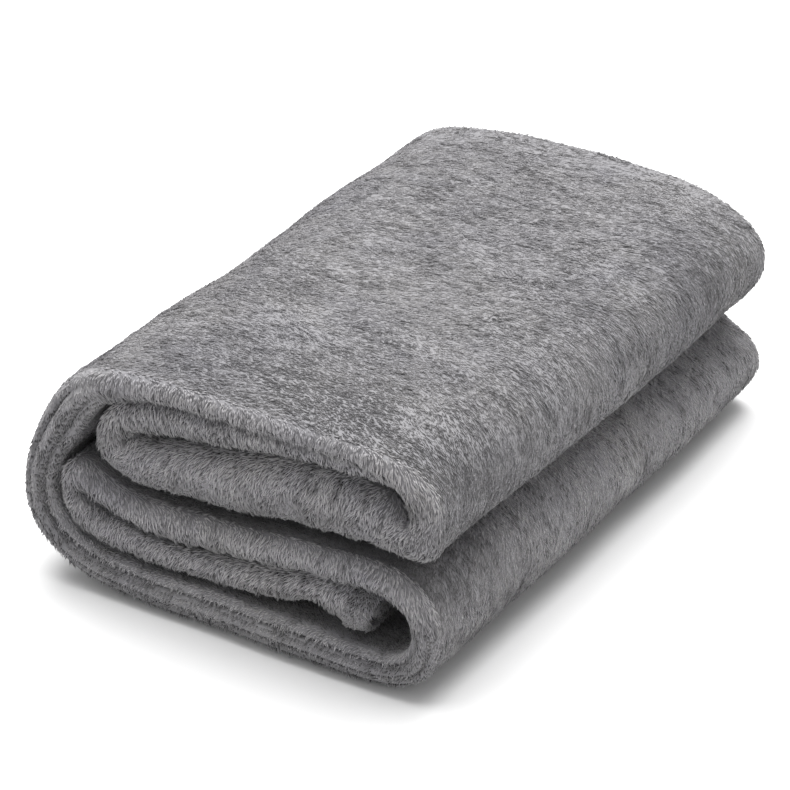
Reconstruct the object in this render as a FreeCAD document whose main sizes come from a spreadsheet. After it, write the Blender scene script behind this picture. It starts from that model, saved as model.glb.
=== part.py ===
import FreeCAD, Part
import math
import os

import Sketcher

# A plush fleece throw folded into a bundle. The sheet is folded in half twice along its length, which
# makes a band four plies thick. The band is then laid in six limbs: a top and a base limb joined by a
# round spine on the left, and inside them two pairs of limbs, one pair tucked into each half. The
# bundle opens like a book: the upper half swings over to the left while the spine unrolls.
#
# X runs across the bundle, from the spine to the right-hand bends. Y runs along it, from the folded
# front end to the back end, where the hemmed sides of the sheet lie. Z is up. The origin is the
# middle of the face the bundle rests on. Sections are drawn from the left side, at x = 0.

doc = FreeCAD.newDocument("folded_throw")
sheet = doc.addObject("Spreadsheet::Sheet", "dims")

DIMENSIONS = (
    ("bundle_length", 375.0, "a quarter of the sheet's 1500 mm, in Y"),
    ("bundle_width", 256.0, "across the limbs, in X"),
    ("wrap_thickness", 21.0, "four plies of the top limb, the spine and the base limb"),
    ("lower_tuck_thickness", 18.0, "innermost limb of the lower half"),
    ("lower_return_thickness", 20.0, "upper limb of the lower half"),
    ("upper_return_thickness", 34.0, "plump lowest limb of the upper half"),
    ("upper_tuck_thickness", 17.0, "innermost limb of the upper half"),
    ("limb_gap", 0.5, "space between limbs of one half"),
    ("half_gap", 0.8, "space between the two halves"),
    ("spine_radius", 45.0, "outside radius of the spine's two round corners"),
    ("end_turn", 45.0, "degrees of each spine corner, up to its hinge line, that belong to a limb"),
    ("hinge_gap", 0.42, "left open at each of the spine's hinge lines, at the inner face"),
    ("lower_hairpin_left", 27.0, "left side of the lower half's inner turn"),
    ("upper_hairpin_left", 40.0, "left side of the upper half's inner turn"),
    ("lower_end_clearance", 7.5, "from the lower free end to the inside of its right-hand turn"),
    ("upper_end_clearance", 4.5, "from the upper free end to the inside of its right-hand turn"),
    ("end_hem_width", 16.0, "turned hem at the free end of an innermost limb"),
    ("side_hem_depth", 12.0, "turned hem along the back end, in Y"),
    ("side_hem_thickness", 4.4, "thickness of one hemmed ply"),
    ("thread_width", 0.8, "width of the stitching line beside a side hem"),
    ("front_round", 7.0, "rounding of the folded front end"),
)

for row, (alias, value, note) in enumerate(DIMENSIONS, start=1):
    sheet.set(f"A{row}", alias)
    sheet.set(f"B{row}", str(value))
    sheet.set(f"C{row}", note)
    sheet.setAlias(f"B{row}", alias)
doc.recompute()


def dim(alias):
    """The expression that reads one driving dimension."""
    return f"dims.{alias}"


# Heights of the limbs, from the floor up, as expressions in the driving dimensions.
BASE_LOW = "0"
BASE_HIGH = dim("wrap_thickness")
LOWER_TUCK_LOW = f"{BASE_HIGH} + {dim('limb_gap')}"
LOWER_TUCK_HIGH = f"{LOWER_TUCK_LOW} + {dim('lower_tuck_thickness')}"
LOWER_RETURN_LOW = f"{LOWER_TUCK_HIGH} + {dim('limb_gap')}"
LOWER_RETURN_HIGH = f"{LOWER_RETURN_LOW} + {dim('lower_return_thickness')}"
UPPER_RETURN_LOW = f"{LOWER_RETURN_HIGH} + {dim('half_gap')}"
UPPER_RETURN_HIGH = f"{UPPER_RETURN_LOW} + {dim('upper_return_thickness')}"
UPPER_TUCK_LOW = f"{UPPER_RETURN_HIGH} + {dim('limb_gap')}"
UPPER_TUCK_HIGH = f"{UPPER_TUCK_LOW} + {dim('upper_tuck_thickness')}"
TOP_LOW = f"{UPPER_TUCK_HIGH} + {dim('limb_gap')}"
TOP_HIGH = f"{TOP_LOW} + {dim('wrap_thickness')}"


def half_span(low, high):
    """Half the height between two levels, which is the radius of a turn that spans them."""
    return f"(({high}) - ({low})) / 2"


def middle(low, high):
    return f"(({low}) + ({high})) / 2"


# The turns. Right-hand bends end at the bundle's right side, hairpins start at their own left side.
LOWER_BEND_RADIUS = half_span(BASE_LOW, LOWER_RETURN_HIGH)
UPPER_BEND_RADIUS = half_span(UPPER_RETURN_LOW, TOP_HIGH)
LOWER_BEND_X = f"{dim('bundle_width')} - {LOWER_BEND_RADIUS}"
UPPER_BEND_X = f"{dim('bundle_width')} - {UPPER_BEND_RADIUS}"
LOWER_HAIRPIN_RADIUS = half_span(LOWER_TUCK_LOW, LOWER_RETURN_HIGH)
UPPER_HAIRPIN_RADIUS = half_span(UPPER_RETURN_LOW, UPPER_TUCK_HIGH)
LOWER_HAIRPIN_X = f"{dim('lower_hairpin_left')} + {LOWER_HAIRPIN_RADIUS}"
UPPER_HAIRPIN_X = f"{dim('upper_hairpin_left')} + {UPPER_HAIRPIN_RADIUS}"


def tuck_end(bend_x, space_low, space_high, clearance):
    """Where an innermost limb meets its hem, so that the hem ends clear of the turn around it."""
    turn_inside = f"{bend_x} + {half_span(space_low, space_high)}"
    return f"{turn_inside} - {dim(clearance)} - {dim('end_hem_width')}"


LOWER_TUCK_END = tuck_end(LOWER_BEND_X, BASE_HIGH, LOWER_RETURN_LOW, "lower_end_clearance")
UPPER_TUCK_END = tuck_end(UPPER_BEND_X, UPPER_RETURN_HIGH, TOP_LOW, "upper_end_clearance")
HEM_STACK = f"2 * {dim('side_hem_thickness')} + {dim('limb_gap')}"
SPINE_X = dim("spine_radius")
SPINE_INNER = f"{dim('spine_radius')} - {dim('wrap_thickness')}"
SPINE_LOW_Z = dim("spine_radius")
SPINE_HIGH_Z = f"{TOP_HIGH} - {dim('spine_radius')}"

FRONT_Y = f"-{dim('bundle_length')} / 2"
BACK_Y = f"{dim('bundle_length')} / 2"
LEFT_X = f"-{dim('bundle_width')} / 2"
ACROSS = FreeCAD.Vector(1, 0, 0)
UPRIGHT = FreeCAD.Vector(0, 0, 1)


def origin_plane(body, role):
    for feature in body.Origin.OriginFeatures:
        if feature.Role == role:
            return feature
    raise RuntimeError(f"{body.Label} has no {role}")


def new_body(label):
    """A body whose drawing starts at the bundle's left side and front end, on the floor."""
    body = doc.addObject("PartDesign::Body", label)
    body.Label = label
    body.setExpression("Placement.Base.x", LEFT_X)
    body.setExpression("Placement.Base.y", FRONT_Y)
    return body


def new_sketch(body, name, role):
    sketch = body.newObject("Sketcher::SketchObject", f"{body.Name}_{name}")
    sketch.AttachmentSupport = [(origin_plane(body, role), "")]
    sketch.MapMode = "FlatFace"
    return sketch


def bind(sketch, constraint, expression):
    """Adds a constraint and drives its value by an expression."""
    index = sketch.addConstraint(constraint)
    sketch.setExpression(f"Constraints[{index}]", expression)


def draw_rectangle(sketch, left, right, low, high):
    """A rectangle whose four sides are held at expressions, measured from the sketch's origin."""
    start = len(sketch.Geometry)
    corners = [(1, 1), (2, 1), (2, 2), (1, 2)]
    points = [FreeCAD.Vector(x, y, 0) for x, y in corners]
    for i in range(4):
        sketch.addGeometry(Part.LineSegment(points[i], points[(i + 1) % 4]), False)
    for i in range(4):
        joined = start + (i + 1) % 4
        sketch.addConstraint(Sketcher.Constraint("Coincident", start + i, 2, joined, 1))
    for i, kind in enumerate(("Horizontal", "Vertical", "Horizontal", "Vertical")):
        sketch.addConstraint(Sketcher.Constraint(kind, start + i))
    bind(sketch, Sketcher.Constraint("DistanceX", -1, 1, start, 1, 1.0), left)
    bind(sketch, Sketcher.Constraint("DistanceX", -1, 1, start + 1, 1, 2.0), right)
    bind(sketch, Sketcher.Constraint("DistanceY", -1, 1, start, 1, 1.0), low)
    bind(sketch, Sketcher.Constraint("DistanceY", -1, 1, start + 2, 1, 2.0), high)


def draw_half_ring(sketch, side, centre_x, outer_z, outer_r, inner_z, inner_r):
    """Half a ring that opens to the left (side 1) or to the right (side -1). Its two arcs may have
    different centre heights, so that the limbs it joins can differ in thickness."""
    quarter = math.pi / 2
    first, last = (-quarter, quarter) if side > 0 else (quarter, 3 * quarter)
    for z, r in ((60.0, 30.0), (60.0, 10.0)):
        circle = Part.Circle(FreeCAD.Vector(100, z, 0), FreeCAD.Vector(0, 0, 1), r)
        sketch.addGeometry(Part.ArcOfCircle(circle, first, last), False)
    spans = ((30, 50), (70, 90)) if side > 0 else ((90, 70), (50, 30))
    for z1, z2 in spans:
        ends = FreeCAD.Vector(100, z1, 0), FreeCAD.Vector(100, z2, 0)
        sketch.addGeometry(Part.LineSegment(*ends), False)
    for joint in ((0, 1, 2, 1), (2, 2, 1, 1), (1, 2, 3, 1), (3, 2, 0, 2)):
        sketch.addConstraint(Sketcher.Constraint("Coincident", *joint))
    for line in (2, 3):
        sketch.addConstraint(Sketcher.Constraint("Vertical", line))
        bind(sketch, Sketcher.Constraint("DistanceX", -1, 1, line, 1, 100.0), centre_x)
    for arc, z, r in ((0, outer_z, outer_r), (1, inner_z, inner_r)):
        bind(sketch, Sketcher.Constraint("DistanceX", -1, 1, arc, 3, 100.0), centre_x)
        bind(sketch, Sketcher.Constraint("DistanceY", -1, 1, arc, 3, 60.0), z)
        bind(sketch, Sketcher.Constraint("Radius", arc, 20.0), r)


def extrude(body, sketch, length):
    """Extrudes a section from the front end towards the back."""
    pad = body.newObject("PartDesign::Pad", f"{body.Name}_pad")
    pad.Profile = sketch
    pad.Reversed = True
    pad.setExpression("Length", length)
    sketch.Visibility = False
    doc.recompute()
    return pad


def round_front(body, feature, along, thickness):
    """Rounds the edges at the folded front end, as a fold rounds them, within the thickness. Along
    is the direction that the edges run in, or None for the curved edges of a turn."""
    edges = []
    for number, edge in enumerate(feature.Shape.Edges, start=1):
        straight = isinstance(edge.Curve, Part.Line)
        if edge.BoundBox.YMax > 0.01 or straight != (along is not None):
            continue
        if along is None or edge.Curve.Direction.cross(along).Length < 0.01:
            edges.append(f"Edge{number}")
    fillet = body.newObject("PartDesign::Fillet", f"{body.Name}_front")
    fillet.Base = (feature, edges)
    fillet.setExpression("Radius", f"min({dim('front_round')}; ({thickness}) * 0.42)")
    doc.recompute()


def limb(label, left, right, low, high, hem_low):
    """One straight limb: four plies, with two of them cut back at the back end to hold the two
    hemmed sides of the sheet and their stitching, which lie from hem_low up."""
    body = new_body(label)
    section = new_sketch(body, "section", "XZ_Plane")
    draw_rectangle(section, left, right, low, high)
    pad = extrude(body, section, dim("bundle_length"))
    round_front(body, pad, ACROSS, f"({high}) - ({low})")
    before = body.Shape.Volume
    notch = new_sketch(body, "notch", "YZ_Plane")
    seam_y = f"{dim('bundle_length')} - {dim('side_hem_depth')} - {dim('thread_width')}"
    past_back = f"{dim('bundle_length')} + 1"
    if hem_low == low:
        notch_low, notch_high = f"({low}) - 1", f"({low}) + {HEM_STACK} + {dim('limb_gap')}"
    else:
        notch_low, notch_high = f"({hem_low}) - {dim('limb_gap')}", f"({high}) + 1"
    draw_rectangle(notch, seam_y, past_back, notch_low, notch_high)
    pocket = body.newObject("PartDesign::Pocket", f"{label}_notch_cut")
    pocket.Profile = notch
    pocket.Type = "ThroughAll"
    pocket.Reversed = True
    notch.Visibility = False
    doc.recompute()
    if body.Shape.Volume > before - 1.0:
        raise RuntimeError(f"{label}: the notch for the side hems cut nothing")
    return body


def side_hem(label, left, right, hem_low, step):
    """The hemmed edge of one ply at the back end of a limb. Step counts the two plies up."""
    box = doc.addObject("Part::Box", label)
    box.Label = label
    ply = f"({dim('side_hem_thickness')} + {dim('limb_gap')})"
    box.setExpression("Length", f"({right}) - ({left})")
    box.setExpression("Width", dim("side_hem_depth"))
    box.setExpression("Height", dim("side_hem_thickness"))
    box.setExpression("Placement.Base.x", f"{LEFT_X} + ({left})")
    box.setExpression("Placement.Base.y", f"{BACK_Y} - {dim('side_hem_depth')}")
    box.setExpression("Placement.Base.z", f"({hem_low}) + {step} * {ply}")


def hem_thread(label, left, right, hem_low):
    """The line of lockstitch that holds both side hems of a limb, as one thin wall of thread."""
    box = doc.addObject("Part::Box", label)
    box.Label = label
    box.setExpression("Length", f"({right}) - ({left})")
    box.setExpression("Width", f"{dim('thread_width')} * 0.75")
    box.setExpression("Height", HEM_STACK)
    box.setExpression("Placement.Base.x", f"{LEFT_X} + ({left})")
    seam = f"{BACK_Y} - {dim('side_hem_depth')} - {dim('thread_width')} * 0.875"
    box.setExpression("Placement.Base.y", seam)
    box.setExpression("Placement.Base.z", hem_low)


def turn(label, side, centre_x, low, high, inner_low, inner_high):
    """A rounded turn between two limbs. Low and high are its outer levels, and the inner two are
    the levels between which the space inside it lies."""
    body = new_body(label)
    section = new_sketch(body, "section", "XZ_Plane")
    outer = middle(low, high), half_span(low, high)
    inner = middle(inner_low, inner_high), half_span(inner_low, inner_high)
    draw_half_ring(section, side, centre_x, *outer, *inner)
    pad = extrude(body, section, dim("bundle_length"))
    thinner = f"min(({high}) - ({inner_high}); ({inner_low}) - ({low}))"
    round_front(body, pad, None, thinner)
    return body


def edge_hem(label, left, low, high):
    """The turned and stitched hem at a limb's free end, with a round nose."""
    body = new_body(label)
    section = new_sketch(body, "section", "XZ_Plane")
    right = f"({left}) + {dim('end_hem_width')}"
    draw_rectangle(section, left, right, low, high)
    pad = extrude(body, section, dim("bundle_length"))
    edges = []
    for number, edge in enumerate(pad.Shape.Edges, start=1):
        box = edge.BoundBox
        if box.YLength > 1 and box.XMin > pad.Shape.BoundBox.XMax - 0.01:
            edges.append(f"Edge{number}")
    nose = body.newObject("PartDesign::Fillet", f"{label}_nose")
    nose.Base = (pad, edges)
    nose.setExpression("Radius", f"({half_span(low, high)}) * 0.9")
    doc.recompute()


def spine_sector(label, centre_z, start, end):
    """A stretch of a round corner of the spine, between two angles counted from straight down,
    clockwise as seen from the front."""
    body = doc.addObject("PartDesign::Body", label)
    body.Label = label
    section = new_sketch(body, "section", "XY_Plane")
    inner = f"({SPINE_INNER})"
    draw_rectangle(section, inner, dim("spine_radius"), "0", dim("bundle_length"))
    sweep = body.newObject("PartDesign::Revolution", f"{label}_turn")
    sweep.Profile = section
    sweep.ReferenceAxis = (section, ["V_Axis"])
    sweep.setExpression("Angle", f"({end}) - ({start})")
    section.Visibility = False
    doc.recompute()
    round_front(body, sweep, None, dim("wrap_thickness"))
    # The section is drawn to the right. Turned by 90 degrees about Y it points straight down.
    body.Placement.Rotation = FreeCAD.Rotation(FreeCAD.Vector(0, 1, 0), 90)
    body.setExpression("Placement.Rotation.Angle", f"90 + ({start})")
    body.setExpression("Placement.Base.x", f"{LEFT_X} + {SPINE_X}")
    body.setExpression("Placement.Base.y", FRONT_Y)
    body.setExpression("Placement.Base.z", centre_z)
    doc.recompute()


# Name, left end, right end, low level and high level of each straight limb, and whether its hems
# lie on its upper face. They lie on the face that a limb turns towards its neighbour in the fold.
LIMBS = (
    ("base_limb", SPINE_X, LOWER_BEND_X, BASE_LOW, BASE_HIGH, True),
    ("lower_tuck_limb", LOWER_HAIRPIN_X, LOWER_TUCK_END, LOWER_TUCK_LOW, LOWER_TUCK_HIGH, True),
    (
        "lower_return_limb",
        LOWER_HAIRPIN_X,
        LOWER_BEND_X,
        LOWER_RETURN_LOW,
        LOWER_RETURN_HIGH,
        False,
    ),
    ("upper_return_limb", UPPER_HAIRPIN_X, UPPER_BEND_X, UPPER_RETURN_LOW, UPPER_RETURN_HIGH, True),
    ("upper_tuck_limb", UPPER_HAIRPIN_X, UPPER_TUCK_END, UPPER_TUCK_LOW, UPPER_TUCK_HIGH, False),
    ("top_limb", SPINE_X, UPPER_BEND_X, TOP_LOW, TOP_HIGH, False),
)

for name, left, right, low, high, hems_above in LIMBS:
    hem_low = f"({high}) - ({HEM_STACK})" if hems_above else low
    limb(name, left, right, low, high, hem_low)
    side_hem(f"{name}_side_hem_1", left, right, hem_low, 0)
    side_hem(f"{name}_side_hem_2", left, right, hem_low, 1)
    hem_thread(f"{name}_hem_thread", left, right, hem_low)

turn("lower_right_turn", 1, LOWER_BEND_X, BASE_LOW, LOWER_RETURN_HIGH, BASE_HIGH, LOWER_RETURN_LOW)
turn("upper_right_turn", 1, UPPER_BEND_X, UPPER_RETURN_LOW, TOP_HIGH, UPPER_RETURN_HIGH, TOP_LOW)
turn(
    "lower_hairpin",
    -1,
    LOWER_HAIRPIN_X,
    LOWER_TUCK_LOW,
    LOWER_RETURN_HIGH,
    LOWER_TUCK_HIGH,
    LOWER_RETURN_LOW,
)
turn(
    "upper_hairpin",
    -1,
    UPPER_HAIRPIN_X,
    UPPER_RETURN_LOW,
    UPPER_TUCK_HIGH,
    UPPER_RETURN_HIGH,
    UPPER_TUCK_LOW,
)
edge_hem("lower_edge_hem", LOWER_TUCK_END, LOWER_TUCK_LOW, LOWER_TUCK_HIGH)
edge_hem("upper_edge_hem", UPPER_TUCK_END, UPPER_TUCK_LOW, UPPER_TUCK_HIGH)

# The spine turns at two hinge lines on its outer face, one in each round corner. The end of each
# corner belongs to its limb, and what is left of the corners moves with the upright between them.
HALF_GAP_TURN = f"{dim('hinge_gap')} / ({SPINE_INNER}) * 90 / pi"


def mirrored(angles):
    """The same stretch of the upper corner."""
    start, end = angles
    return f"180 - ({end})", f"180 - ({start})"


LIMB_END = ("0", f"{dim('end_turn')} - {HALF_GAP_TURN}")
CORNER = (f"{dim('end_turn')} + {HALF_GAP_TURN}", "90")
spine_sector("base_spine_end", SPINE_LOW_Z, *LIMB_END)
spine_sector("lower_spine_corner", SPINE_LOW_Z, *CORNER)
spine_sector("upper_spine_corner", SPINE_HIGH_Z, *mirrored(CORNER))
spine_sector("top_spine_end", SPINE_HIGH_Z, *mirrored(LIMB_END))

spine_upright = new_body("spine_upright")
upright_section = new_sketch(spine_upright, "section", "XZ_Plane")
draw_rectangle(upright_section, "0", dim("wrap_thickness"), SPINE_LOW_Z, SPINE_HIGH_Z)
upright_pad = extrude(spine_upright, upright_section, dim("bundle_length"))
round_front(spine_upright, upright_pad, UPRIGHT, dim("wrap_thickness"))

doc.recompute()

SUB_PART_TYPES = ("PartDesign::Body", "Part::Box")
for item in doc.Objects:
    bad_states = {"Invalid", "Error"} & set(item.State)
    if bad_states:
        raise RuntimeError(f"{item.Name} failed: {sorted(bad_states)}")

os.makedirs("parts", exist_ok=True)
sub_parts = [item for item in doc.Objects if item.TypeId in SUB_PART_TYPES]
for item in sub_parts:
    shape = item.Shape
    if shape.isNull() or not shape.isValid() or not shape.Solids:
        raise RuntimeError(f"{item.Label} has no valid solid")
for item in sub_parts:
    item.Shape.exportStep(f"parts/{item.Label}.step")
print(len(sub_parts), "sub-parts written")
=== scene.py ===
import math

import bpy
import numpy as np
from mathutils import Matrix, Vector


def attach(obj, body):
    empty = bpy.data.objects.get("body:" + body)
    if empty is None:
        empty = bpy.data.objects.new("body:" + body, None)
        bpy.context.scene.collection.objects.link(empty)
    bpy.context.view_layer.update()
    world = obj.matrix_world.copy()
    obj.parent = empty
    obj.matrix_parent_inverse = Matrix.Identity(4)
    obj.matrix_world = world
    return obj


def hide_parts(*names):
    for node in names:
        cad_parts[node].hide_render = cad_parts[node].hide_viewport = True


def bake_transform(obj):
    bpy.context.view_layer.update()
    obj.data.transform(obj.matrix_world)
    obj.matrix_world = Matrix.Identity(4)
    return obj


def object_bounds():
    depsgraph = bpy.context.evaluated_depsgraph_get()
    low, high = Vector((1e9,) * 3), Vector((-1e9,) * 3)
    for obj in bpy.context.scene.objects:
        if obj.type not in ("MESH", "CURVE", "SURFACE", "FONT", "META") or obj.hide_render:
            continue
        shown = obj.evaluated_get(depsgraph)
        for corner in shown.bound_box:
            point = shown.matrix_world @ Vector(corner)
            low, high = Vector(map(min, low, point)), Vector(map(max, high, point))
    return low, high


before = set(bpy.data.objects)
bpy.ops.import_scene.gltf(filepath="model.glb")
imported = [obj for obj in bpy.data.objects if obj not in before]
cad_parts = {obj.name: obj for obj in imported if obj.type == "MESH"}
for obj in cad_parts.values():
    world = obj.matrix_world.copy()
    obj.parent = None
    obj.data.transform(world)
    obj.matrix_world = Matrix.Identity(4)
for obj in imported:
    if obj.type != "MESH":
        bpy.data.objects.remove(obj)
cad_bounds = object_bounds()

# A folded plush throw. The sheet of 1.30 x 1.50 m is folded in half twice along its length, which
# makes a band of four plies, and the band is laid in six limbs that turn into each other. The cloth
# is made limb by limb from one section of that band, carried from the front end to the back end.
# Lengths are in millimetres here and become metres when a mesh is made.

MM = 0.001
CAD_LOW, CAD_HIGH = (np.array(corner) / MM for corner in cad_bounds)
WIDTH, DEPTH, HEIGHT = CAD_HIGH - CAD_LOW
FRONT, BACK = CAD_LOW[1], CAD_HIGH[1]
DRAWN_WIDTH = 256.0           # the bundle's size that the stations below are drawn for
DRAWN_HEIGHT = 133.8
FRONT_HEIGHT = 143.0          # the stack is plumpest at the front end
BACK_HEIGHT = 125.0
CLOTH = 3.6                   # thickness of the knitted ground with the roots of its pile
rng = np.random.default_rng(11)


# ---------------------------------------------------------------- section of the folded band

# Each station of the section holds a point on the band's outer face (x, z), the point opposite it
# on the inner face, and how far the folded front end is set back there. Stations run from the free
# end inside the upper half, over the top and down the spine, to the free end in the lower half.
STATIONS = np.array([
    # upper tuck, from its free end at the right
    (101, 129.0, 101, 121.5, 9), (80, 130.5, 80, 121.5, 8), (52, 131.0, 52, 121.0, 7),
    (24, 130.5, 24, 117.0, 6), (-6, 129.5, -10, 110.5, 6), (-36, 127.0, -36, 106.0, 6),
    # upper hairpin
    (-56, 122.5, -50, 103.5, 6), (-70, 116.0, -57, 102.0, 6), (-80, 105.0, -58.5, 101.0, 6),
    (-86, 92.0, -58.5, 100.0, 6), (-86, 81.0, -57, 99.0, 6), (-77, 72.0, -54, 98.5, 6),
    # upper return
    (-64, 66.8, -46, 99.5, 6), (-44, 65.0, -34, 103.0, 6), (-10, 66.5, -8, 107.5, 6),
    (24, 70.0, 24, 114.0, 6), (54, 74.0, 52, 118.5, 6), (86, 76.0, 78, 119.0, 6),
    # upper right turn
    (106, 76.5, 96, 116.0, 5), (120, 79.5, 106, 109.0, 3), (128.5, 88.0, 111, 106.0, 1),
    (132, 101.0, 113, 108.0, 0), (131, 115.0, 113, 113.0, 0), (126, 127.0, 110.5, 119.5, 0),
    (115, 136.5, 105, 126.0, 0), (99, 141.5, 94, 130.5, 0),
    # top
    (76, 143.0, 74, 132.5, 0), (46, 143.0, 46, 133.0, 0), (14, 143.0, 14, 132.5, 0),
    (-20, 142.0, -20, 131.0, 0), (-50, 140.0, -46, 127.5, 0), (-74, 136.5, -64, 121.5, 0),
    # spine
    (-92, 130.5, -76, 113.5, 0), (-105, 119.0, -84, 103.5, 0), (-114, 104.0, -91, 92.5, 0),
    (-121, 88.0, -99, 81.5, 0), (-126, 72.0, -105, 71.5, 0), (-129, 56.0, -107.5, 60.0, 0),
    (-128, 41.0, -106.5, 48.0, 0), (-122.5, 27.0, -101, 38.0, 0), (-112, 15.5, -92, 31.5, 0),
    (-97, 7.0, -80, 27.5, 0),
    # base
    (-76, 2.0, -66, 24.5, 0), (-50, 0.3, -46, 22.5, 0), (-18, 0.0, -18, 22.0, 0),
    (20, 0.0, 20, 22.5, 0), (56, 0.0, 56, 22.5, 0), (84, 0.5, 82, 21.0, 0), (104, 3.0, 98, 21.0, 0),
    # lower right turn
    (119, 9.5, 108, 24.5, 0), (128, 20.0, 113.5, 31.5, 0), (132, 33.0, 115, 39.5, 0),
    (131, 46.5, 114, 47.0, 0), (126, 58.0, 109.5, 52.5, 1), (116, 67.5, 102, 55.5, 2),
    # lower return
    (102, 72.5, 92, 57.5, 3), (82, 73.0, 74, 57.0, 4), (54, 71.0, 50, 54.5, 4),
    (24, 67.5, 20, 50.5, 4), (-10, 63.5, -12, 45.5, 4), (-44, 61.8, -36, 43.0, 4),
    # lower hairpin
    (-66, 63.8, -58, 46.5, 4), (-82, 69.5, -74, 51.0, 4), (-91.5, 76.0, -84, 55.5, 4),
    (-98, 76.5, -90, 57.5, 4), (-102.5, 69.5, -93, 57.5, 4), (-104, 59.0, -93.5, 56.5, 4),
    (-102.5, 48.0, -92.5, 55.0, 4), (-97, 38.5, -89, 53.0, 4), (-88, 33.0, -82, 50.5, 4),
    # lower tuck, to its free end at the right
    (-72, 28.8, -68, 46.0, 4), (-36, 25.5, -36, 40.5, 5), (0, 25.5, -4, 43.0, 6),
    (34, 29.0, 30, 48.5, 7), (52, 34.5, 50, 52.5, 8), (63, 32.5, 66, 55.0, 7),
    (72, 25.0, 80, 54.5, 7), (83, 24.0, 89, 50.0, 9), (91, 30.0, 94, 43.5, 14),
])

# The cloth pieces: name, first and last station, body, and the CAD nodes that each stands for.
UPPER, SPINE, LOWER = "upper_half", "spine", "lower_half"
PIECES = (
    ("upper_tuck_cloth", 0, 6, UPPER, ("upper_tuck_limb",)),
    ("upper_hairpin_cloth", 6, 12, UPPER, ("upper_hairpin",)),
    ("upper_return_cloth", 12, 18, UPPER, ("upper_return_limb",)),
    ("upper_turn_cloth", 18, 25, UPPER, ("upper_right_turn",)),
    ("top_cloth", 25, 31, UPPER, ("top_limb",)),
    ("upper_spine_cloth", 31, 36.5, (SPINE, UPPER), ("top_spine_end", "upper_spine_corner")),
    ("lower_spine_cloth", 36.5, 42, (LOWER, SPINE),
     ("base_spine_end", "lower_spine_corner", "spine_upright")),
    ("base_cloth", 42, 48, LOWER, ("base_limb",)),
    ("lower_turn_cloth", 48, 55, LOWER, ("lower_right_turn",)),
    ("lower_return_cloth", 55, 61, LOWER, ("lower_return_limb",)),
    ("lower_hairpin_cloth", 61, 70, LOWER, ("lower_hairpin",)),
    ("lower_tuck_cloth", 70, 77, LOWER, ("lower_tuck_limb",)),
)


def section_at(stations):
    """The five values of the section at fractional station numbers, on a smooth curve."""
    last = len(STATIONS) - 1
    s = np.clip(np.asarray(stations, float), 0, last)
    i = np.minimum(s.astype(int), last - 1)
    t = (s - i)[:, None]
    before, here = STATIONS[np.maximum(i - 1, 0)], STATIONS[i]
    after, beyond = STATIONS[i + 1], STATIONS[np.minimum(i + 2, last)]
    return 0.5 * (
        2 * here
        + (after - before) * t
        + (2 * before - 5 * here + 4 * after - beyond) * t**2
        + (3 * here - before - 3 * after + beyond) * t**3
    )


def station_steps(first, last, step):
    """Station numbers from first to last, about step apart on the section's longer face."""
    fine = np.linspace(first, last, int((last - first) * 40) + 1)
    rows = section_at(fine)
    outer = np.hypot(*np.diff(rows[:, 0:2], axis=0).T)
    inner = np.hypot(*np.diff(rows[:, 2:4], axis=0).T)
    along = np.concatenate([[0], np.cumsum(np.maximum(outer, inner))])
    count = max(4, round(along[-1] / step))
    return np.interp(np.linspace(0, along[-1], count + 1), along, fine)


def waves(points, size, seed):
    """Smooth irregular values of about -1 to 1 that change over roughly size, the same each run."""
    r = np.random.default_rng(seed)
    total = np.zeros(len(points))
    for _ in range(7):
        direction = r.normal(size=3)
        direction *= r.uniform(0.6, 1.5) / np.linalg.norm(direction) / size * math.tau / 2
        total += np.sin(points @ direction + r.uniform(0, math.tau))
    return total / 3.2


def ramp(values, low, high):
    """0 below low, 1 above high, and smooth between them."""
    t = np.clip((values - low) / (high - low), 0, 1)
    return t * t * (3 - 2 * t)


CORNER_CUT = 15.0          # how far the right-hand corner is rounded off at the back
GROOVE_LEVEL = 73.0        # height of the groove between the two halves
GROOVE_DEPTH = 11.0
GROOVE_DROP = 9.0
SPINE_LEAN = 9.0           # how far the top of the spine leans out at the back
FREE_END_LEVEL = 38.0      # height of the free end in the lower half
FREE_END_SPREAD = 12.0


def settle(points):
    """Carries points of the drawn band to where the soft stack really lies: lower at the back,
    with slow undulations. Neighbouring layers shift together, and the base stays on the surface."""
    x, y, z = points.T
    back = (y - FRONT) / DEPTH
    rise = (FRONT_HEIGHT + (BACK_HEIGHT - FRONT_HEIGHT) * np.clip(back, 0, 1)) / FRONT_HEIGHT
    lift = np.clip(z / 25, 0, 1)
    flat = points * (1, 1, 0.55)
    right, left = ramp(x, 20, 128), ramp(-x, 60, 125)
    # At the back the right-hand corner is rounded off, the two halves part in a deeper groove that
    # lies lower, and the top of the spine leans out to the left.
    corner = ramp(back, 0.55, 1.05)
    y = y - CORNER_CUT * right**2 * corner
    groove = np.exp(-((z - GROOVE_LEVEL) / 22) ** 2) * right * ramp(back, 0.3, 1.0)
    x = x - GROOVE_DEPTH * groove * ramp(x, 60, 130)
    z = z - GROOVE_DROP * groove
    x = x - SPINE_LEAN * left * ramp(z, 70, 125) * ramp(back, 0.45, 1.0)
    # Behind the front, the lower free end has spread towards the turn around it.
    level = np.exp(-((z - FREE_END_LEVEL) / 9) ** 2)
    spread = level * ramp(x, 40, 85) * ramp(-x, -112, -98)
    x = x + FREE_END_SPREAD * spread * ramp(back, 0.12, 0.4)
    x = x + lift * (0.9 * waves(flat, 110, 1) + 0.4 * waves(flat, 30, 2))
    y = y + 1.6 * waves(flat, 70, 3) + 0.6 * waves(flat, 24, 4)
    z = z * rise + lift * (1.5 * waves(flat, 110, 5) + 0.5 * waves(flat, 34, 6))
    return np.stack([x * WIDTH / DRAWN_WIDTH, y, z * HEIGHT / DRAWN_HEIGHT], axis=1)


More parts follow.
